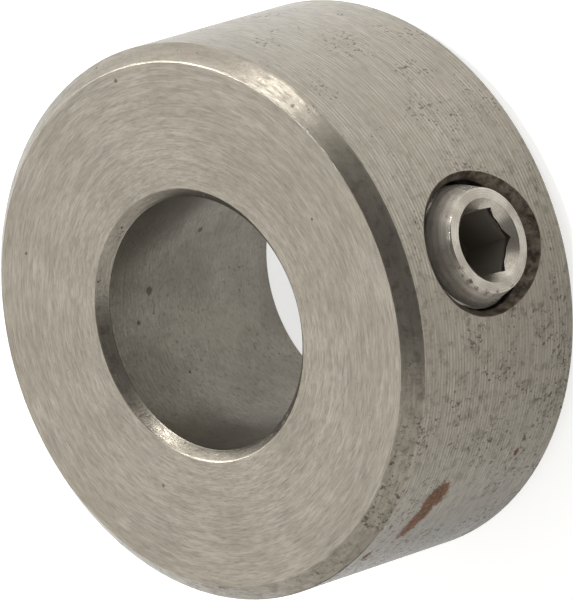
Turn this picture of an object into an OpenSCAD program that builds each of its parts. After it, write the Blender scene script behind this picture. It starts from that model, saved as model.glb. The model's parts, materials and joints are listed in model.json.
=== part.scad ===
// Shaft collar: a turned ring that slides onto a shaft and is held there by one
// hexagon-socket set screw. The bore runs along Z through the origin, which is at
// the middle of the ring's width, and the set screw lies along +X.

/* [Ring] */
// Outside diameter of the ring
ring_d = 22; // [20:0.5:28]
// Diameter of the bore, which is the shaft's size
bore_d = 10; // [8:0.5:11]
// Width of the ring along the bore
ring_w = 10; // [9:0.5:16]
// Chamfer on the two outer edges
ring_chamfer = 0.65; // [0.2:0.05:1]
// Chamfer at the two mouths of the bore
bore_chamfer = 0.4; // [0.1:0.05:0.8]
// Largest diameter of the countersink around the set screw
sink_d = 6.4; // [5.6:0.1:7]

/* [Set screw] */
// Nominal thread diameter
thread_d = 5; // [4.8:0.1:5.2]
// Thread pitch
pitch = 0.8; // [0.7:0.05:0.9]
// Length from the flat end to the cup point
screw_l = 6; // [5:0.5:7]
// How far the flat end stands out of the ring
stand_out = 0.3; // [0:0.05:1]
// Width across flats of the hexagon socket
key_af = 2.5; // [2.3:0.05:2.6]
// Depth of the hexagon socket
key_depth = 2.6; // [2:0.1:2.8]
// Turn of the hexagon about the screw's axis, in degrees
key_turn = 25; // [0:1:59]

/* [Hidden] */
$fn = 128;

// The flat end and the point of the screw, measured from the bore's axis.
screw_top = ring_d / 2 + stand_out;
screw_tip = screw_top - screw_l;

// Thread form: 60 degree flanks on the basic pitch diameter, eased apart so that
// the screw turns freely in its hole.
flank_slope = tan(30);
pitch_r = thread_d / 2 - 0.325 * pitch;
flank_ease = 0.045;
male_crest_r = thread_d / 2 - 0.05;
male_root_r = thread_d / 2 - 0.49;
female_crest_r = thread_d / 2 - 0.4;
female_root_r = thread_d / 2 + 0.02;
turn_steps = 36;

// The thread is one long rod, from below both the hole's inner end and the screw's
// point to above the screw's flat end. Ring and screw share it, so they mesh.
hole_low_end = sqrt(pow(bore_d / 2, 2) - pow(female_root_r, 2));
first_turn = floor(min(hole_low_end, screw_tip) / pitch) - 1;
turns = ceil(screw_top / pitch) + 1 - first_turn;

// Colours: warm grey turned steel, and a brighter screw.
ring_colour = [0.65, 0.62, 0.57];
screw_colour = [0.76, 0.75, 0.73];

// The cup point: a 45 degree cone that ends in a sharp rim around a hollow.
cup_rim_r = 1.25;
cup_depth = 0.6;
point_r = male_root_r - 0.02;
point_l = point_r - cup_rim_r;

// The flat end: a plain steep cone above the thread, and the mouth of the socket.
top_flat_r = 2.06;
top_cone_r = 2.4;
top_cone_l = 1.05;
mouth_r = 1.65;
drill_r = key_af / 2 + 0.03;
drill_depth = key_depth + 0.25;
blank_r = thread_d / 2 + 0.1;

// The hole is bored out below its countersink, so that the plain cone can go down it
// when the screw is turned in by this much.
feed_in = 1.2;
relief_r = female_root_r + 0.05;
relief_depth = top_cone_l + top_cone_r - male_root_r - stand_out + feed_in + 0.06;

// Turns an upright shape, made along Z, so that it lies along +X.
module along_screw() {
    rotate([0, 90, 0]) children();
}

// One point of a thread's outline: radius r, height z, at step i of the helix.
function helix_point(i, r, z) =
    let (a = 360 * i / turn_steps)
    [r * cos(a), r * sin(a), z + pitch * i / turn_steps];

// The outline of one turn at step i: both edges of the ridge's foot and of its crest.
function turn_outline(i, foot_r, crest_r, mid_r) =
    let (
        start = first_turn * pitch,
        foot_half = pitch / 4 + (mid_r - foot_r) * flank_slope,
        crest_half = pitch / 4 + (mid_r - crest_r) * flank_slope
    )
    [
        helix_point(i, foot_r, start - foot_half),
        helix_point(i, crest_r, start - crest_half),
        helix_point(i, crest_r, start + crest_half),
        helix_point(i, foot_r, start + foot_half)
    ];

// A rod with a right-hand thread, along Z. Its ends lie beyond the parts that use it.
module threaded_rod(foot_r, crest_r, mid_r) {
    steps = turns * turn_steps;
    loop = turn_steps;
    last = 4 * steps;
    bottom = 4 * (steps + 1);
    top = bottom + 1;
    points = [
        for (i = [0 : steps]) each turn_outline(i, foot_r, crest_r, mid_r),
        [0, 0, first_turn * pitch],
        [0, 0, (first_turn + turns) * pitch]
    ];
    strips = [
        for (i = [0 : steps - 1], k = [0 : 2])
            each [[4 * i + k, 4 * i + k + 1, 4 * i + k + 5], [4 * i + k, 4 * i + k + 5, 4 * i + k + 4]]
    ];
    valleys = [
        for (i = [0 : steps - 1 - loop])
            each [[4 * i + 3, 4 * (i + loop), 4 * (i + loop + 1)], [4 * i + 3, 4 * (i + loop + 1), 4 * i + 7]]
    ];
    bottom_cap = [
        for (i = [0 : loop - 1]) [bottom, 4 * i, 4 * (i + 1)],
        [bottom, 4 * loop, 3],
        [bottom, 3, 2],
        [bottom, 2, 1],
        [bottom, 1, 0]
    ];
    top_cap = [
        for (i = [steps - loop : steps - 1]) [top, 4 * (i + 1) + 3, 4 * i + 3],
        [top, last, last + 1],
        [top, last + 1, last + 2],
        [top, last + 2, last + 3],
        [top, 4 * (steps - loop) + 3, last]
    ];
    polyhedron(points, concat(strips, valleys, bottom_cap, top_cap), convexity = 20);
}

// The turned ring: bore and outside are true cylinders with chamfered edges.
module ring_blank() {
    half_w = ring_w / 2;
    out_r = ring_d / 2;
    in_r = bore_d / 2;
    rotate_extrude()
        polygon([
            [in_r, -half_w + bore_chamfer],
            [in_r + bore_chamfer, -half_w],
            [out_r - ring_chamfer, -half_w],
            [out_r, -half_w + ring_chamfer],
            [out_r, half_w - ring_chamfer],
            [out_r - ring_chamfer, half_w],
            [in_r + bore_chamfer, half_w],
            [in_r, half_w - bore_chamfer]
        ]);
}

// The 90 degree countersink where the tapped hole meets the outside. Its side rises
// one millimetre for each millimetre of radius, and it reaches past the ring.
module hole_sink() {
    reach = 1;
    sink_r = sink_d / 2;
    translate([0, 0, ring_d / 2 - sink_r])
        cylinder(r1 = 0, r2 = sink_r + reach, h = sink_r + reach);
}

// The bored mouth of the tapped hole, just wider than the thread.
module hole_relief() {
    over = 1;
    translate([0, 0, ring_d / 2 - relief_depth])
        cylinder(r = relief_r, h = relief_depth + over);
}

module collar_ring() {
    color(ring_colour)
        difference() {
            ring_blank();
            along_screw() threaded_rod(female_crest_r, female_root_r, pitch_r + flank_ease);
            along_screw() hole_relief();
            along_screw() hole_sink();
        }
}

// The outline of the threaded length before its thread is cut, from the point's seat
// up to the foot of the plain cone, where it is a little narrower than the cone.
module screw_blank() {
    seat = screw_tip + point_l;
    foot = screw_top - top_cone_l;
    foot_r = top_cone_r - 0.02;
    rotate_extrude()
        polygon([
            [0, seat],
            [point_r, seat],
            [blank_r, seat + blank_r - point_r],
            [blank_r, foot - (blank_r - foot_r)],
            [foot_r, foot],
            [0, foot]
        ]);
}

// The plain end: a short chamfer out of the thread's root, then the steep cone.
module plain_end() {
    foot = screw_top - top_cone_l;
    rotate_extrude()
        polygon([
            [0, foot - top_cone_r + male_root_r],
            [male_root_r - 0.02, foot - top_cone_r + male_root_r - 0.02],
            [top_cone_r, foot],
            [top_flat_r, screw_top],
            [0, screw_top]
        ]);
}

// The hexagon socket, the drilled hole that was broached to make it, and its mouth.
module key_socket() {
    over = 0.2;
    translate([0, 0, screw_top - key_depth])
        rotate([0, 0, key_turn])
            linear_extrude(key_depth + over)
                circle(r = key_af / 2 / cos(30), $fn = 6);
    translate([0, 0, screw_top - drill_depth])
        cylinder(r = drill_r, h = drill_depth + over);
    translate([0, 0, screw_top - drill_depth - drill_r / 2])
        cylinder(r1 = 0, r2 = drill_r, h = drill_r / 2);
    translate([0, 0, screw_top - mouth_r])
        cylinder(r1 = 0, r2 = mouth_r + over, h = mouth_r + over);
}

module set_screw() {
    color(screw_colour)
        along_screw()
            difference() {
                union() {
                    intersection() {
                        threaded_rod(male_root_r, male_crest_r, pitch_r - flank_ease);
                        screw_blank();
                    }
                    plain_end();
                }
                key_socket();
            }
}

// The screw's unthreaded end, which presses on the shaft.
module set_screw_point() {
    color(screw_colour)
        along_screw()
            rotate_extrude()
                polygon([
                    [0, screw_tip + cup_depth],
                    [cup_rim_r, screw_tip],
                    [point_r, screw_tip + point_l],
                    [0, screw_tip + point_l]
                ]);
}

collar_ring();
set_screw();
set_screw_point();
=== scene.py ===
"""A shaft collar with its set screw, lying on one face on a pale floor.

The scene is in metres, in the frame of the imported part: the bore runs along Z, the set
screw along +X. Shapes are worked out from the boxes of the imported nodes, in millimetres,
and scaled down to metres when a mesh is made.
"""

import json
import math
import random
from functools import reduce
from types import SimpleNamespace

import bmesh
import bpy
from mathutils import Matrix, Vector


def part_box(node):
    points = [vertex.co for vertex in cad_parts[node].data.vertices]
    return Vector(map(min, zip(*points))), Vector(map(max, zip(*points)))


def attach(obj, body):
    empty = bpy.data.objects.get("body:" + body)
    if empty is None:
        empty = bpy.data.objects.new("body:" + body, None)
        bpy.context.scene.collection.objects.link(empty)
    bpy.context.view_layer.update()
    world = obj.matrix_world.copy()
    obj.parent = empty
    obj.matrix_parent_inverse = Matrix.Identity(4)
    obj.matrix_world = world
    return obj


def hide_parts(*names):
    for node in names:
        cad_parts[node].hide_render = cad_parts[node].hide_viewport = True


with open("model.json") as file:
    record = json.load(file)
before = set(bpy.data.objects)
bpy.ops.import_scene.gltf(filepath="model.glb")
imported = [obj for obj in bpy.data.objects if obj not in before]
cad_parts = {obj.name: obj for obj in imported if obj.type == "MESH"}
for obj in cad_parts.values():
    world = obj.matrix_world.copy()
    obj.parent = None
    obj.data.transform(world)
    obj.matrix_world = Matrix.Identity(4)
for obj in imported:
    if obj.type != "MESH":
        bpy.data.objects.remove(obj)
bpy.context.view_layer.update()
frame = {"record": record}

# ---------------------------------------------------------------- sizes, in millimetres

MM = 0.001
SHARP_ANGLE = math.radians(32)


def box_mm(node):
    """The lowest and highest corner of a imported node, in millimetres."""
    return [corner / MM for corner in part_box(node)]


ring_high = box_mm("collar_ring")[1]
screw_high = box_mm("set_screw")[1]
point_low = box_mm("set_screw_point")[0]
bore_mount = next(m for m in frame["record"]["mounts"] if m["name"] == "shaft_bore")

RING_R = ring_high.y
HALF_W = ring_high.z
BORE_R = bore_mount["dims"]["r_mm"]
BORE_CHAMFER = HALF_W - bore_mount["dims"]["length_mm"] / 2
RING_CHAMFER = 0.65
EDGE_ROUND = 0.05
RING_SIDES = 144

# The feed and the depth of the tool's marks on the ring's faces, bore and outside.
FACE_MARKS = (0.13, 0.0022)
BORE_MARKS = (0.21, 0.004)
OUTSIDE_MARKS = (0.17, 0.006)

# The tapped hole and both threads. The threads' run reaches past the ring and the screw, and
# the relief leaves room for the screw's cone when the screw is all the way in.
SINK_R = 3.2
PITCH = 0.8
THREAD_R = 2.5
PITCH_R = THREAD_R - 0.325 * PITCH
FLANK_EASE = 0.045
FLANK_SLOPE = math.tan(math.radians(30))
MALE_CREST_R = THREAD_R - 0.05
MALE_ROOT_R = THREAD_R - 0.49
FEMALE_CREST_R = THREAD_R - 0.4
FEMALE_ROOT_R = THREAD_R + 0.02
TURN_STEPS = 72
FIRST_TURN = 4
TURNS = 12
RELIEF_R = FEMALE_ROOT_R + 0.05
RELIEF_DEPTH = 2.4

# The set screw: its point, its steep plain cone at the flat end, and its socket.
SCREW_TOP = screw_high.x
SCREW_TIP = point_low.x
CUP_RIM_R = 1.25
CUP_DEPTH = 0.6
TOP_FLAT_R = 2.06
TOP_CONE_R = 2.4
TOP_CONE_L = 1.05
MOUTH_R = 1.65
KEY_AF = 2.5
KEY_DEPTH = 2.6
KEY_TURN = math.radians(25)
DRILL_R = KEY_AF / 2 + 0.03
DRILL_DEPTH = KEY_DEPTH + 0.25
SCREW_SIDES = 96
SCREW_EDGE_ROUND = 0.07
CONE_MARKS = (0.1, 0.003)

# ---------------------------------------------------------------- mesh helpers


def new_object(name, built):
    """A new object at the origin from a bmesh in millimetres, which is freed."""
    bmesh.ops.recalc_face_normals(built, faces=built.faces)
    bmesh.ops.scale(built, vec=(MM, MM, MM), verts=built.verts)
    mesh = bpy.data.meshes.new(name)
    built.to_mesh(mesh)
    built.free()
    piece = bpy.data.objects.new(name, mesh)
    bpy.context.scene.collection.objects.link(piece)
    return piece


def lathe(name, outline, sides, closed):
    """Turns an outline of (radius, height) points about Z. An open one ends on the axis."""
    built = bmesh.new()
    rings = []
    for radius, height in outline:
        if radius < 1e-9:
            rings.append([built.verts.new((0, 0, height))] * sides)
            continue
        angles = [2 * math.pi * side / sides for side in range(sides)]
        rings.append(
            [built.verts.new((radius * math.cos(a), radius * math.sin(a), height)) for a in angles]
        )
    pairs = list(zip(rings, rings[1:]))
    if closed:
        pairs.append((rings[-1], rings[0]))
    for low, high in pairs:
        for side in range(sides):
            after = (side + 1) % sides
            corners = [low[side], low[after], high[after], high[side]]
            built.faces.new(list(dict.fromkeys(corners)))
    return new_object(name, built)


def upright_to_screw(piece):
    """Turns a piece made along Z so that it lies along +X, as the set screw does."""
    piece.data.transform(Matrix.Rotation(math.radians(90), 4, "Y"))
    return piece


def cut(piece, operation, other):
    """Joins, cuts or trims a piece with another one, which is then removed."""
    modifier = piece.modifiers.new("cut", "BOOLEAN")
    modifier.operation = operation
    modifier.solver = "MANIFOLD"
    modifier.object = other
    depsgraph = bpy.context.evaluated_depsgraph_get()
    result = bpy.data.meshes.new_from_object(piece.evaluated_get(depsgraph))
    piece.modifiers.clear()
    old = piece.data
    piece.data = result
    result.name = piece.name
    bpy.data.meshes.remove(old)
    bpy.data.objects.remove(other)
    return piece


def smooth(piece):
    """Smooth shading, with an edge wherever two faces meet at a clear angle."""
    piece.data.shade_smooth()
    piece.data.set_sharp_from_angle(angle=SHARP_ANGLE)


def rounded(corner, before, after, radius, steps=4):
    """The points of an arc that rounds off a corner of an outline."""
    corner, before, after = Vector(corner), Vector(before), Vector(after)
    to_before = (before - corner).normalized()
    to_after = (after - corner).normalized()
    half = to_before.angle(to_after) / 2
    reach = radius / math.tan(half)
    centre = corner + (to_before + to_after).normalized() * (radius / math.sin(half))
    first = corner + to_before * reach - centre
    last = corner + to_after * reach - centre
    turn = first.angle_signed(last)
    points = []
    for step in range(steps + 1):
        point = first.copy()
        point.rotate(Matrix.Rotation(-turn * step / steps, 2))
        points.append(tuple(centre + point))
    return points


# ---------------------------------------------------------------- the threads


def threaded_rod(name, foot_r, crest_r, mid_r):
    """A rod with a right-hand thread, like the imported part's, with finer steps."""
    start = FIRST_TURN * PITCH
    foot_half = PITCH / 4 + (mid_r - foot_r) * FLANK_SLOPE
    crest_half = PITCH / 4 + (mid_r - crest_r) * FLANK_SLOPE
    outline = [
        (foot_r, start - foot_half),
        (crest_r, start - crest_half),
        (crest_r, start + crest_half),
        (foot_r, start + foot_half),
    ]
    built = bmesh.new()
    steps = TURNS * TURN_STEPS
    rows = []
    for step in range(steps + 1):
        angle = 2 * math.pi * step / TURN_STEPS
        rise = PITCH * step / TURN_STEPS
        turn_cos, turn_sin = math.cos(angle), math.sin(angle)
        rows.append([built.verts.new((r * turn_cos, r * turn_sin, z + rise)) for r, z in outline])
    for row, after in zip(rows, rows[1:]):
        for k in range(3):
            built.faces.new((row[k], row[k + 1], after[k + 1], after[k]))
    for step in range(steps - TURN_STEPS):
        above, above_next = rows[step + TURN_STEPS], rows[step + TURN_STEPS + 1]
        built.faces.new((rows[step][3], above[0], above_next[0], rows[step + 1][3]))
    low = built.verts.new((0, 0, start))
    high = built.verts.new((0, 0, start + TURNS * PITCH))
    for step in range(TURN_STEPS):
        built.faces.new((low, rows[step][0], rows[step + 1][0]))
        top = steps - TURN_STEPS + step
        built.faces.new((high, rows[top + 1][3], rows[top][3]))
    low_loop = [rows[TURN_STEPS][0], *reversed(rows[0])]
    high_loop = [*reversed(rows[-1]), rows[steps - TURN_STEPS][3]]
    for centre, loop in ((low, low_loop), (high, high_loop)):
        for one, two in zip(loop, loop[1:]):
            built.faces.new((centre, one, two))
    return upright_to_screw(new_object(name, built))


# ---------------------------------------------------------------- the ring


def turned(start, end, marks, chance):
    """Points of a straight cut from start to end, with a shallow scallop for each feed."""
    pitch, depth = marks
    start, end = Vector(start), Vector(end)
    along = (end - start).normalized()
    inward = Vector((-along.y, along.x))
    count = round((end - start).length / pitch)
    feed = (end - start).length / count
    points = []
    for number in range(count):
        deep = depth * chance.uniform(0.45, 1.0)
        shift = feed * chance.uniform(-0.12, 0.12)
        for share in (0.0, 0.3, 0.7):
            sunk = deep * 4 * share * (1 - share) + depth * 0.02
            spot = start + along * (feed * (number + share) + (shift if share else 0))
            points.append(tuple(spot + inward * sunk))
    return points


def make_ring():
    """The turned ring: feed marks on all but its chamfers, and the tapped, countersunk hole."""
    chance = random.Random(7)
    corners = [
        (BORE_R, -HALF_W + BORE_CHAMFER),
        (BORE_R + BORE_CHAMFER, -HALF_W),
        (RING_R - RING_CHAMFER, -HALF_W),
        (RING_R, -HALF_W + RING_CHAMFER),
        (RING_R, HALF_W - RING_CHAMFER),
        (RING_R - RING_CHAMFER, HALF_W),
        (BORE_R + BORE_CHAMFER, HALF_W),
        (BORE_R, HALF_W - BORE_CHAMFER),
    ]
    # The tool's marks on the side that follows each corner. The chamfers have none.
    marks = [None, FACE_MARKS, None, OUTSIDE_MARKS, None, FACE_MARKS, None, BORE_MARKS]
    outline = []
    arcs = [
        rounded(corner, corners[k - 1], corners[(k + 1) % len(corners)], EDGE_ROUND)
        for k, corner in enumerate(corners)
    ]
    for k, side_marks in enumerate(marks):
        arc, next_arc = arcs[k], arcs[(k + 1) % len(arcs)]
        outline += arc
        if side_marks:
            outline += turned(arc[-1], next_arc[0], side_marks, chance)[1:]
    ring = lathe("collar_ring_turned", outline, RING_SIDES, True)
    hole = threaded_rod("hole", FEMALE_CREST_R, FEMALE_ROOT_R, PITCH_R + FLANK_EASE)
    reach = 1.0
    sink_outline = [
        (0, RING_R - SINK_R),
        (SINK_R + reach, RING_R + reach),
        (0, RING_R + reach),
    ]
    sink = upright_to_screw(lathe("sink", sink_outline, SCREW_SIDES, False))
    relief_outline = [
        (0, RING_R - RELIEF_DEPTH),
        (RELIEF_R, RING_R - RELIEF_DEPTH),
        (RELIEF_R, RING_R + reach),
        (0, RING_R + reach),
    ]
    relief = upright_to_screw(lathe("relief", relief_outline, SCREW_SIDES, False))
    cut(ring, "DIFFERENCE", hole)
    cut(ring, "DIFFERENCE", relief)
    cut(ring, "DIFFERENCE", sink)
    smooth(ring)
    return ring


# ---------------------------------------------------------------- the set screw


def make_screw():
    """The whole set screw: thread, flat end with its hexagon socket, and cup point."""
    blank_r = THREAD_R + 0.1
    foot = SCREW_TOP - TOP_CONE_L
    lap = 0.02
    foot_r = TOP_CONE_R - lap
    outline = [
        (0, SCREW_TIP + CUP_DEPTH),
        (CUP_RIM_R, SCREW_TIP),
        (blank_r, SCREW_TIP + blank_r - CUP_RIM_R),
        (blank_r, foot - blank_r + foot_r),
        (foot_r, foot),
        (0, foot),
    ]
    blank = upright_to_screw(lathe("blank", outline, SCREW_SIDES, False))
    cone_low, cone_high = (TOP_CONE_R, foot), (TOP_FLAT_R, SCREW_TOP)
    cone_side = turned(cone_low, cone_high, CONE_MARKS, random.Random(3))
    edge = rounded(cone_high, cone_low, (0, SCREW_TOP), SCREW_EDGE_ROUND)
    end_outline = [
        (0, foot - TOP_CONE_R + MALE_ROOT_R),
        (MALE_ROOT_R - lap, foot - TOP_CONE_R + MALE_ROOT_R - lap),
        *[point for point in cone_side if point[1] < edge[0][1]],
        *edge,
        (0, SCREW_TOP),
    ]
    plain_end = upright_to_screw(lathe("plain_end", end_outline, SCREW_SIDES, False))
    screw = threaded_rod("set_screw_whole", MALE_ROOT_R, MALE_CREST_R, PITCH_R - FLANK_EASE)
    cut(screw, "INTERSECT", blank)
    cut(screw, "UNION", plain_end)
    over = 0.2
    key_r = KEY_AF / 2 / math.cos(math.radians(30))
    key = bmesh.new()
    bmesh.ops.create_cone(
        key,
        cap_ends=True,
        segments=6,
        radius1=key_r,
        radius2=key_r,
        depth=KEY_DEPTH + over,
        matrix=Matrix.Translation((0, 0, SCREW_TOP - (KEY_DEPTH - over) / 2))
        @ Matrix.Rotation(KEY_TURN, 4, "Z"),
    )
    hexagon = upright_to_screw(new_object("hexagon", key))
    drill_outline = [
        (0, SCREW_TOP - DRILL_DEPTH - DRILL_R / 2),
        (DRILL_R, SCREW_TOP - DRILL_DEPTH),
        (DRILL_R, SCREW_TOP - MOUTH_R + DRILL_R),
        (MOUTH_R + over, SCREW_TOP + over),
        (0, SCREW_TOP + over),
    ]
    drill = upright_to_screw(lathe("drill", drill_outline, SCREW_SIDES, False))
    cut(screw, "DIFFERENCE", hexagon)
    cut(screw, "DIFFERENCE", drill)
    smooth(screw)
    return screw


# ---------------------------------------------------------------- materials

STEEL_PALE = (0.32, 0.294, 0.248, 1)
STEEL_DULL = (0.272, 0.248, 0.206, 1)
STEEL_DARK = (0.12, 0.107, 0.088, 1)
# Brown for the grime mottling and for the painted shade on the ring's -Y side.
GRIME_AND_SHADE_BROWN = (0.075, 0.064, 0.045, 1)
BORE_PALE = (0.305, 0.284, 0.243, 1)
BORE_DULL = (0.226, 0.208, 0.176, 1)
PIT_DARK = (0.045, 0.034, 0.024, 1)
# Painted shade in the screw's countersink and tapped hole: dark, mottled with brown.
HOLE_SHADE_DARK = (0.05, 0.041, 0.033, 1)
HOLE_SHADE_BROWN = (0.17, 0.142, 0.112, 1)
RUST_BRIGHT = (0.15, 0.068, 0.03, 1)
RUST_DARK = (0.06, 0.03, 0.015, 1)
DIRT_BROWN = (0.06, 0.032, 0.022, 1)
SCREW_PALE = (0.45, 0.42, 0.37, 1)
SCREW_DULL = (0.3, 0.272, 0.232, 1)
SCREW_LINE = (0.14, 0.12, 0.1, 1)
# Painted shade inside the screw's socket.
SOCKET_SHADE_DARK = (0.17, 0.15, 0.125, 1)
FLOOR_WHITE = (0.5, 0.5, 0.495, 1)
FLOOR_GLOW = (1, 1, 0.99, 1)
FLOOR_GLOW_LEVEL = 0.7

# The pitch of the painted-shade lines on the outside, and how strongly the chamfers are darkened
# as painted shade.
OUTSIDE_FEED = 0.17
CHAMFER_SHADE = 0.2

# Rust on the outside: angle, height, half length, half width, lean, raggedness.
RUST_PATCHES = [
    (-58.4, 2.1, 1.6, 0.5, -17, 1.8),
    (-54.0, 1.85, 0.9, 0.66, -17, 1.8),
    (-69.5, 3.7, 0.35, 0.2, 0, 1.6),
    (-48.0, -2.3, 0.22, 0.14, 0, 1.6),
]

# Dark nicks: angle, distance from the bore's axis, height, size.
NICKS = [
    (92.8, 9.97, HALF_W, 0.11),
    (-127.5, 7.06, HALF_W, 0.1),
    (-42.8, 5.3, HALF_W - 0.1, 0.16),
    (20.0, 7.9, HALF_W, 0.08),
    (150.0, 9.1, HALF_W, 0.09),
    (41.7, 10.6, HALF_W - 0.25, 0.12),
    (159.0, BORE_R, 2.3, 0.26),
    (135.7, BORE_R, -0.3, 0.2),
    (172.0, BORE_R, 3.1, 0.14),
    (-160.0, BORE_R, 1.4, 0.09),
]


def add(tree, kind, inputs=None, **settings):
    """A node with its settings, and with each input set to a value or linked to a socket."""
    node = tree.nodes.new(kind)
    for key, value in settings.items():
        setattr(node, key, value)
    for key, value in (inputs or {}).items():
        if isinstance(value, bpy.types.NodeSocket):
            tree.links.new(value, node.inputs[key])
        else:
            node.inputs[key].default_value = value
    return node


def maths(tree, operation, *values):
    """The result of a Math node on sockets or numbers."""
    inputs = dict(enumerate(values))
    return add(tree, "ShaderNodeMath", inputs, operation=operation).outputs[0]


def without(tree, value):
    """One minus a value."""
    return maths(tree, "SUBTRACT", 1.0, value)


def new_material(name):
    """A material with an empty node tree, its output and its main shader."""
    material = bpy.data.materials.new(name)
    material.use_nodes = True
    tree = material.node_tree
    tree.nodes.clear()
    shader = add(tree, "ShaderNodeBsdfPrincipled")
    add(tree, "ShaderNodeOutputMaterial", {"Surface": shader.outputs[0]})
    return material, tree, shader


def ramp(tree, value, low, high, to_low=0.0, to_high=1.0):
    """A value spread smoothly from one range to another."""
    inputs = {"Value": value, 1: low, 2: high, 3: to_low, 4: to_high}
    return add(
        tree, "ShaderNodeMapRange", inputs, interpolation_type="SMOOTHSTEP"
    ).outputs[0]


def mix(tree, share, one, two):
    """A colour between two colours."""
    node = add(tree, "ShaderNodeMix", data_type="RGBA")
    for socket, value in zip((node.inputs[0], node.inputs[6], node.inputs[7]), (share, one, two)):
        if isinstance(value, bpy.types.NodeSocket):
            tree.links.new(value, socket)
        else:
            socket.default_value = value
    return node.outputs[2]


def noise(tree, vector, detail, rough):
    """Noise that varies around 0.5, at the scale of its vector."""
    inputs = {"Vector": vector, "Scale": 1.0, "Detail": detail, "Roughness": rough}
    return add(tree, "ShaderNodeTexNoise", inputs).outputs[0]


def scaled(tree, vector, scale):
    """A vector times a number."""
    inputs = {0: vector, "Scale": scale}
    return add(tree, "ShaderNodeVectorMath", inputs, operation="SCALE").outputs[0]


def length(tree, vector):
    """The length of a vector."""
    return add(tree, "ShaderNodeVectorMath", {0: vector}, operation="LENGTH").outputs["Value"]


def place_in_mm(tree):
    """The place of a point of the piece in millimetres, as a vector and as x, y and z."""
    mm = scaled(tree, add(tree, "ShaderNodeTexCoord").outputs["Object"], 1 / MM)
    x, y, z = add(tree, "ShaderNodeSeparateXYZ", {0: mm}).outputs[:]
    return mm, x, y, z


def place_on_ring(tree):
    """A point of the ring: where it is, and which side it is on, each side from 0 to 1."""
    at = SimpleNamespace()
    at.mm, at.x, at.y, at.z = place_in_mm(tree)
    flat = add(tree, "ShaderNodeCombineXYZ", {"X": at.x, "Y": at.y}).outputs[0]
    at.radius = length(tree, flat)
    at.unit = add(tree, "ShaderNodeVectorMath", {0: flat}, operation="NORMALIZE").outputs[0]
    at.angle = maths(tree, "ARCTAN2", at.y, at.x)

    at.outside = ramp(tree, at.radius, RING_R - 0.06, RING_R - 0.02)
    at.faces = ramp(tree, maths(tree, "ABSOLUTE", at.z), HALF_W - 0.05, HALF_W - 0.01)
    at.in_bore = ramp(tree, at.radius, BORE_R + 0.03, BORE_R + 0.09, 1.0, 0.0)

    # The screw's hole is its countersink, and what lies within its relief's radius.
    across_screw = add(tree, "ShaderNodeCombineXYZ", {"X": at.y, "Y": at.z}).outputs[0]
    from_screw = length(tree, across_screw)
    sink_radius = maths(tree, "SUBTRACT", at.x, RING_R - SINK_R)
    on_sink = ramp(tree, maths(tree, "SUBTRACT", from_screw, sink_radius), 0.012, 0.03, 1.0, 0.0)
    in_thread = ramp(tree, from_screw, RELIEF_R + 0.05, RELIEF_R + 0.1, 1.0, 0.0)
    at.in_hole = maths(tree, "MAXIMUM", on_sink, in_thread)
    at.in_hole = maths(tree, "MULTIPLY", at.in_hole, ramp(tree, at.x, BORE_R, BORE_R + 0.3))

    flat_sides = maths(tree, "MAXIMUM", maths(tree, "MAXIMUM", at.outside, at.faces), at.in_bore)
    at.on_chamfer = without(tree, maths(tree, "MAXIMUM", flat_sides, at.in_hole))
    return at


def around(tree, at, turning, across):
    """A place for noise that runs in circles: slow around the bore, fast across."""
    along = maths(tree, "MULTIPLY_ADD", at.z, 1.7, at.radius)
    along = maths(tree, "MULTIPLY", along, across)
    lift = add(tree, "ShaderNodeCombineXYZ", {"Z": along}).outputs[0]
    inputs = {0: scaled(tree, at.unit, turning), 1: lift}
    return add(tree, "ShaderNodeVectorMath", inputs, operation="ADD").outputs[0]


def add_ring_noises(tree, at):
    """Noises that several marks share: a tool's broken lines, and spots from large to fine."""
    at.lines = noise(tree, around(tree, at, 5.0, 5.5), 3.0, 0.7)
    at.grain = noise(tree, around(tree, at, 16.0, 17.0), 3.0, 0.7)
    at.stain = noise(tree, scaled(tree, at.mm, 0.33), 4.0, 0.6)
    at.mottle = noise(tree, scaled(tree, at.mm, 2.2), 4.0, 0.7)
    at.speck = noise(tree, scaled(tree, at.mm, 6.0), 3.0, 0.65)


def turned_colour(tree, at):
    """Grey steel with circular marks, and painted shade as dark lines in the tool's grooves on the
    outside.
    """
    base = mix(tree, ramp(tree, at.stain, 0.3, 0.7), STEEL_DULL, STEEL_PALE)
    base = mix(tree, ramp(tree, at.lines, 0.35, 0.65, 0.0, 0.35), base, STEEL_DARK)
    base = mix(tree, ramp(tree, at.grain, 0.4, 0.7, 0.0, 0.45), base, STEEL_DARK)
    # Painted shade: dark lines along the outside's feed grooves.
    feed = maths(tree, "MULTIPLY", at.z, 2 * math.pi / OUTSIDE_FEED)
    shaken = maths(tree, "MULTIPLY_ADD", at.lines, 1.6, feed)
    groove_shade = ramp(tree, maths(tree, "SINE", shaken), 0.0, 1.0)
    groove_shade = maths(tree, "MULTIPLY", groove_shade, at.outside)
    groove_shade = maths(tree, "MULTIPLY", groove_shade, ramp(tree, at.stain, 0.3, 0.6, 0.18, 0.5))
    return mix(tree, groove_shade, base, STEEL_DARK)


def with_grime_and_painted_shade(tree, at, base):
    """A colour with soft dark grime mottling, painted stronger on the -Y side as shade, and with
    painted shade darkest at the outside's far -Y end.
    """
    # Painted shade: the mottling is made stronger towards -Y.
    share = ramp(tree, at.y, 0.0, 7.0, 0.5, 0.14)
    grime_and_shade = maths(tree, "MULTIPLY", ramp(tree, at.mottle, 0.48, 0.68), share)
    grime_and_shade = maths(tree, "MULTIPLY", grime_and_shade, without(tree, at.faces))
    base = mix(tree, grime_and_shade, base, GRIME_AND_SHADE_BROWN)
    # Painted shade: the -Y end of the outside is darkened.
    far_end_shade = maths(tree, "MULTIPLY", ramp(tree, at.y, -RING_R, -8.6, 0.95, 0.0), at.outside)
    return mix(tree, far_end_shade, base, GRIME_AND_SHADE_BROWN)


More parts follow.
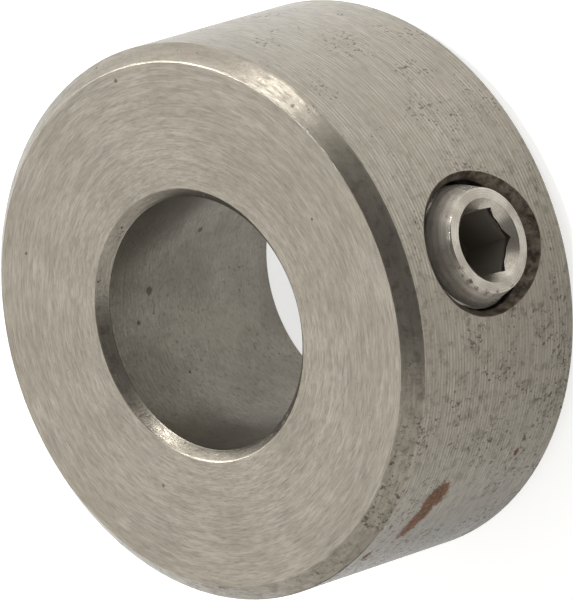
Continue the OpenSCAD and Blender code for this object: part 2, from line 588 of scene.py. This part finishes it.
def pits_on(tree, at):
    """Above zero in small clustered pits, mostly on the outside's back and -Y parts."""
    crowd = noise(tree, scaled(tree, at.mm, 0.5), 2.0, 0.5)
    crowd = maths(tree, "MULTIPLY_ADD", at.z, -0.008, crowd)
    crowd = maths(tree, "MULTIPLY_ADD", at.y, -0.007, crowd)
    limit = ramp(tree, crowd, 0.36, 0.66, 0.72, 0.57)
    smoother = maths(tree, "MAXIMUM", at.faces, at.in_bore)
    limit = maths(tree, "MULTIPLY_ADD", smoother, 0.09, limit)
    return ramp(tree, maths(tree, "SUBTRACT", at.speck, limit), -0.03, 0.06, 0.0, 0.72)


def rust_patch(tree, at, turn, height, half_long, half_wide, lean, ragged):
    """One inside a ragged leaning oval on the outside, at an angle and height."""
    arc = maths(tree, "SUBTRACT", at.angle, math.radians(turn))
    arc = maths(tree, "MULTIPLY", arc, RING_R)
    up = maths(tree, "SUBTRACT", at.z, height)
    lean_cos, lean_sin = math.cos(math.radians(lean)), math.sin(math.radians(lean))
    one = maths(tree, "MULTIPLY_ADD", arc, lean_cos, maths(tree, "MULTIPLY", up, lean_sin))
    two = maths(tree, "MULTIPLY_ADD", up, lean_cos, maths(tree, "MULTIPLY", arc, -lean_sin))
    one = maths(tree, "POWER", maths(tree, "DIVIDE", one, half_long), 2.0)
    two = maths(tree, "POWER", maths(tree, "DIVIDE", two, half_wide), 2.0)
    far = maths(tree, "SQRT", maths(tree, "ADD", one, two))
    far = maths(tree, "MULTIPLY_ADD", maths(tree, "SUBTRACT", at.speck, 0.5), ragged, far)
    far = maths(tree, "MULTIPLY_ADD", maths(tree, "SUBTRACT", at.radius, RING_R), -3.0, far)
    return ramp(tree, far, 0.75, 1.05, 1.0, 0.0)


def nick(tree, at, turn, far, high, size):
    """One inside a small ragged spot at an angle, a distance from the axis and a height."""
    spot = (far * math.cos(math.radians(turn)), far * math.sin(math.radians(turn)), high)
    gap = add(tree, "ShaderNodeVectorMath", {0: at.mm, 1: spot}, operation="DISTANCE")
    gap = maths(tree, "MULTIPLY_ADD", at.speck, size, gap.outputs["Value"])
    return ramp(tree, gap, size * 0.9, size * 1.5, 1.0, 0.0)


def any_of(tree, values):
    """The largest of several values."""
    return reduce(lambda one, two: maths(tree, "MAXIMUM", one, two), values)


def bore_colour(tree, at):
    """The bore's grey, with finer and fainter marks than the rest of the ring."""
    base = mix(tree, ramp(tree, at.stain, 0.35, 0.65), BORE_PALE, BORE_DULL)
    base = mix(tree, ramp(tree, at.grain, 0.4, 0.7, 0.0, 0.4), base, STEEL_DARK)
    return mix(tree, ramp(tree, at.speck, 0.5, 0.75, 0.0, 0.5), base, STEEL_DARK)


def ring_colour(tree, at, pits, rust, nicks):
    """The ring's colour with everything that lies on it, and its painted shade."""
    base = with_grime_and_painted_shade(tree, at, turned_colour(tree, at))
    base = mix(tree, pits, base, PIT_DARK)
    rust_colour = mix(tree, ramp(tree, at.speck, 0.35, 0.6), RUST_BRIGHT, RUST_DARK)
    base = mix(tree, rust, base, rust_colour)
    base = mix(tree, maths(tree, "MULTIPLY", nicks, 0.7), base, PIT_DARK)
    worn = maths(tree, "MULTIPLY", at.in_bore, without(tree, pits))
    worn = maths(tree, "MULTIPLY", worn, without(tree, nicks))
    base = mix(tree, worn, base, bore_colour(tree, at))
    # Painted shade: the chamfers are darkened evenly.
    base = mix(tree, maths(tree, "MULTIPLY", at.on_chamfer, CHAMFER_SHADE), base, STEEL_DARK)
    # Painted shade: the countersink and tapped hole are painted dark, mottled with brown.
    hole_shade_colour = mix(tree, ramp(tree, at.mottle, 0.35, 0.65), HOLE_SHADE_DARK, HOLE_SHADE_BROWN)
    return mix(tree, at.in_hole, base, hole_shade_colour)


def ring_bump(tree, at, pits):
    """Fine relief from the marks, the pits, and a rougher surface on the chamfers."""
    height = maths(tree, "MULTIPLY_ADD", at.grain, 0.5, at.lines)
    height = maths(tree, "MULTIPLY_ADD", pits, -4.0, height)
    rugged = maths(tree, "MULTIPLY", at.on_chamfer, maths(tree, "MULTIPLY", at.speck, 6.0))
    height = maths(tree, "ADD", height, rugged)
    inputs = {"Strength": 0.5, "Distance": 0.003 * MM, "Height": height}
    return add(tree, "ShaderNodeBump", inputs).outputs[0]


def turned_steel():
    """Dull grey turned steel with circular marks, grime, pits, nicks and rust, and painted shade
    in the grooves, on the chamfers, towards -Y and in the screw's hole.
    """
    material, tree, shader = new_material("turned_steel")
    at = place_on_ring(tree)
    add_ring_noises(tree, at)
    pits = pits_on(tree, at)
    rust = any_of(tree, [rust_patch(tree, at, *numbers) for numbers in RUST_PATCHES])
    nicks = any_of(tree, [nick(tree, at, *numbers) for numbers in NICKS])
    tree.links.new(ring_colour(tree, at, pits, rust, nicks), shader.inputs["Base Color"])

    not_metal = maths(tree, "MAXIMUM", pits, rust)
    tree.links.new(without(tree, not_metal), shader.inputs["Metallic"])
    shader.inputs["Specular IOR Level"].default_value = 0.2
    rough = ramp(tree, at.grain, 0.3, 0.7, 0.27, 0.42)
    rough = maths(tree, "MULTIPLY_ADD", not_metal, 0.35, rough)
    rough = maths(tree, "MULTIPLY_ADD", at.in_hole, 0.2, rough)
    tree.links.new(rough, shader.inputs["Roughness"])
    tree.links.new(ring_bump(tree, at, pits), shader.inputs["Normal"])
    return material


def rim_dirt(tree, y, z, radius, speck):
    """One in brown dirt caught on one side of the outer edge of the screw's flat end."""
    off_edge = maths(tree, "ABSOLUTE", maths(tree, "SUBTRACT", radius, TOP_FLAT_R - 0.01))
    edge = ramp(tree, off_edge, 0.0, 0.14, 1.0, 0.0)
    side = ramp(tree, maths(tree, "SUBTRACT", z, maths(tree, "MULTIPLY", y, 2.0)), 2.2, 3.6)
    place = maths(tree, "MULTIPLY", edge, side)
    return maths(tree, "MULTIPLY", ramp(tree, speck, 0.54, 0.62), place)


def screw_steel():
    """Brighter steel of the set screw, with faint turned lines, a few brown specks, and painted
    shade inside its socket.
    """
    material, tree, shader = new_material("bright_screw_steel")
    mm, x, y, z = place_in_mm(tree)
    radius = length(tree, add(tree, "ShaderNodeCombineXYZ", {"X": y, "Y": z}).outputs[0])
    mottle = noise(tree, scaled(tree, mm, 0.9), 4.0, 0.6)
    speck = noise(tree, scaled(tree, mm, 4.0), 2.0, 0.6)
    base = mix(tree, ramp(tree, mottle, 0.35, 0.7), SCREW_PALE, SCREW_DULL)
    base = mix(tree, ramp(tree, speck, 0.68, 0.74, 0.0, 0.7), base, PIT_DARK)

    # Thin turned lines around the screw's axis, on its cone and on its flat end.
    turns = maths(tree, "MULTIPLY", maths(tree, "MULTIPLY_ADD", radius, 1.5, x), 14.0)
    lines = noise(tree, add(tree, "ShaderNodeCombineXYZ", {"X": turns}).outputs[0], 2.0, 0.7)
    base = mix(tree, ramp(tree, lines, 0.4, 0.65, 0.0, 0.4), base, SCREW_LINE)

    # The broached socket is painted dark and dull inside, below its bright mouth, as painted shade
    # in the recess.
    deep = ramp(tree, x, SCREW_TOP - 0.62, SCREW_TOP - 0.4, 1.0, 0.0)
    inside = ramp(tree, radius, KEY_AF * 0.6, KEY_AF * 0.62, 1.0, 0.0)
    in_socket = maths(tree, "MULTIPLY", deep, inside)
    base = mix(tree, in_socket, base, SOCKET_SHADE_DARK)
    dirt = rim_dirt(tree, y, z, radius, speck)
    base = mix(tree, dirt, base, DIRT_BROWN)
    tree.links.new(base, shader.inputs["Base Color"])

    # The cone is duller than the flat end.
    on_cone = ramp(tree, radius, TOP_FLAT_R + 0.01, TOP_FLAT_R + 0.06, 0.0, 0.6)
    dull = any_of(tree, [in_socket, dirt, on_cone])
    tree.links.new(without(tree, dull), shader.inputs["Metallic"])
    rough = ramp(tree, mottle, 0.3, 0.7, 0.2, 0.32)
    rough = maths(tree, "MULTIPLY_ADD", in_socket, 0.3, rough)
    tree.links.new(rough, shader.inputs["Roughness"])
    return material


def floor_paint():
    """The floor's matt white, with a glow that keeps it nearly white where shadows fall."""
    material, _, shader = new_material("pale_floor")
    shader.inputs["Base Color"].default_value = FLOOR_WHITE
    shader.inputs["Roughness"].default_value = 0.9
    shader.inputs["Emission Color"].default_value = FLOOR_GLOW
    shader.inputs["Emission Strength"].default_value = FLOOR_GLOW_LEVEL
    return material


# ---------------------------------------------------------------- the object

ring = make_ring()
ring.data.materials.clear()
ring.data.materials.append(turned_steel())
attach(ring, "collar")
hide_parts("collar_ring")

screw = make_screw()
screw.data.materials.clear()
screw.data.materials.append(screw_steel())
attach(screw, "screw")
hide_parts("set_screw", "set_screw_point")

# ---------------------------------------------------------------- floor, light and camera

FLOOR_R = 900
FLOOR_SIDES = 64


def make_floor():
    """A wide round pale floor under the collar."""
    built = bmesh.new()
    bmesh.ops.create_circle(built, cap_ends=True, segments=FLOOR_SIDES, radius=FLOOR_R)
    bmesh.ops.translate(built, vec=(0, 0, -HALF_W), verts=built.verts)
    floor = new_object("floor", built)
    floor.data.materials.append(floor_paint())


# The camera's angles, its distance and small shifts in metres, and its lens in millimetres.
CAMERA_AZIMUTH = math.radians(1.025)
CAMERA_ELEVATION = math.radians(46.06)
CAMERA_ROLL = math.radians(107.36)
CAMERA_DISTANCE = 0.4239
CAMERA_LENS = 654.3
CAMERA_SHIFT_RIGHT = 0.00009
CAMERA_SHIFT_DOWN = 0.00005


def camera_turn():
    """The camera's axes in the part's frame: right, up and back, as a rotation."""
    back = Vector(
        (
            math.cos(CAMERA_AZIMUTH) * math.cos(CAMERA_ELEVATION),
            math.sin(CAMERA_AZIMUTH) * math.cos(CAMERA_ELEVATION),
            math.sin(CAMERA_ELEVATION),
        )
    )
    level = back.to_track_quat("Z", "Y").to_matrix()
    return level @ Matrix.Rotation(-CAMERA_ROLL, 3, "Z")


def make_camera():
    """A long lens from far off, rolled so that the collar seems to stand on its rim."""
    data = bpy.data.cameras.new("camera")
    data.lens = CAMERA_LENS
    data.clip_start = 0.01
    camera = bpy.data.objects.new("camera", data)
    bpy.context.scene.collection.objects.link(camera)
    turn = camera_turn()
    offset = Vector((CAMERA_SHIFT_RIGHT, -CAMERA_SHIFT_DOWN, CAMERA_DISTANCE))
    camera.matrix_world = Matrix.Translation(turn @ offset) @ turn.to_4x4()
    bpy.context.scene.camera = camera


# Soft lights: name, direction in the camera's axes, width and height, power in watts.
LIGHT_DISTANCE = 0.5
SOFT_LIGHTS = [
    ("key", (-0.92, 0.38, 0.06), (0.22, 0.22), 2.2),
    ("left_fill", (-0.95, -0.3, 0.04), (0.3, 0.3), 0.11),
    ("screw_side", (-0.8, 0.2, 0.5), (0.12, 0.12), 0.2),
    ("overhead", (-0.1, 0.9, 0.1), (0.3, 0.2), 0.1),
    ("glint", (-0.46, 0.75, 0.45), (0.1, 0.06), 0.5),
]


def soft_light(name, toward, size, power):
    """A rectangular soft light that faces the collar from a direction in camera axes."""
    data = bpy.data.lights.new(name, "AREA")
    data.shape = "RECTANGLE"
    data.size, data.size_y = size
    data.energy = power
    light = bpy.data.objects.new(name, data)
    bpy.context.scene.collection.objects.link(light)
    direction = (camera_turn() @ Vector(toward)).normalized()
    light.location = direction * LIGHT_DISTANCE
    light.rotation_mode = "QUATERNION"
    light.rotation_quaternion = direction.to_track_quat("Z", "Y")
    light.visible_camera = False


# The lit patch of floor: its centre and radius in millimetres, and the spot's distance in
# metres and power in watts.
SPOT_CENTRE = (10.5, 12.5)
SPOT_RADIUS = 5.4
SPOT_DISTANCE = 0.15
SPOT_POWER = 3.2


def spot_on_floor():
    """A spot that lights a round patch of the floor, which the ring's outside mirrors."""
    data = bpy.data.lights.new("floor_spot", "SPOT")
    data.energy = SPOT_POWER
    data.spot_size = 2 * math.atan(SPOT_RADIUS * MM / SPOT_DISTANCE)
    data.spot_blend = 0.5
    data.shadow_soft_size = 0.01
    light = bpy.data.objects.new("floor_spot", data)
    bpy.context.scene.collection.objects.link(light)
    direction = Vector((0, 0.5, 0.87)).normalized()
    target = Vector((*SPOT_CENTRE, -HALF_W)) * MM
    light.location = target + direction * SPOT_DISTANCE
    light.rotation_mode = "QUATERNION"
    light.rotation_quaternion = direction.to_track_quat("Z", "Y")


WORLD_COLOUR = (1, 0.99, 0.97, 1)
WORLD_LEVEL = 1.2
WORLD_DARK = 0.28

# The dark zone's edges, by how far a direction points towards the camera and up the picture.
DARK_FACING = (0.3, 0.6)
DARK_TOP = (0.58, 0.76)
DARK_BOTTOM = (-0.66, -0.4)


def make_world():
    """Even studio light, with a dark zone around the camera, as a dark room behind it."""
    world = bpy.data.worlds.new("studio")
    world.use_nodes = True
    tree = world.node_tree
    tree.nodes.clear()
    direction = add(tree, "ShaderNodeTexCoord").outputs["Generated"]
    turn = camera_turn()

    def towards(axis):
        """How far a direction points along one of the camera's axes."""
        inputs = {0: direction, 1: turn @ Vector(axis)}
        return add(
            tree, "ShaderNodeVectorMath", inputs, operation="DOT_PRODUCT"
        ).outputs["Value"]

    facing = ramp(tree, towards((0, 0, 1)), *DARK_FACING)
    under_top = ramp(tree, towards((0, 1, 0)), *DARK_TOP, 1.0, 0.0)
    over_bottom = ramp(tree, towards((0, 1, 0)), *DARK_BOTTOM)
    dark = maths(tree, "MULTIPLY", facing, maths(tree, "MULTIPLY", under_top, over_bottom))
    level = ramp(tree, dark, 0.0, 1.0, WORLD_LEVEL, WORLD_DARK)
    background = add(tree, "ShaderNodeBackground", {"Color": WORLD_COLOUR, "Strength": level})
    add(tree, "ShaderNodeOutputWorld", {"Surface": background.outputs[0]})
    bpy.context.scene.world = world


make_floor()
make_camera()
make_world()
for numbers in SOFT_LIGHTS:
    soft_light(*numbers)
spot_on_floor()

bpy.context.scene.view_settings.view_transform = "Standard"
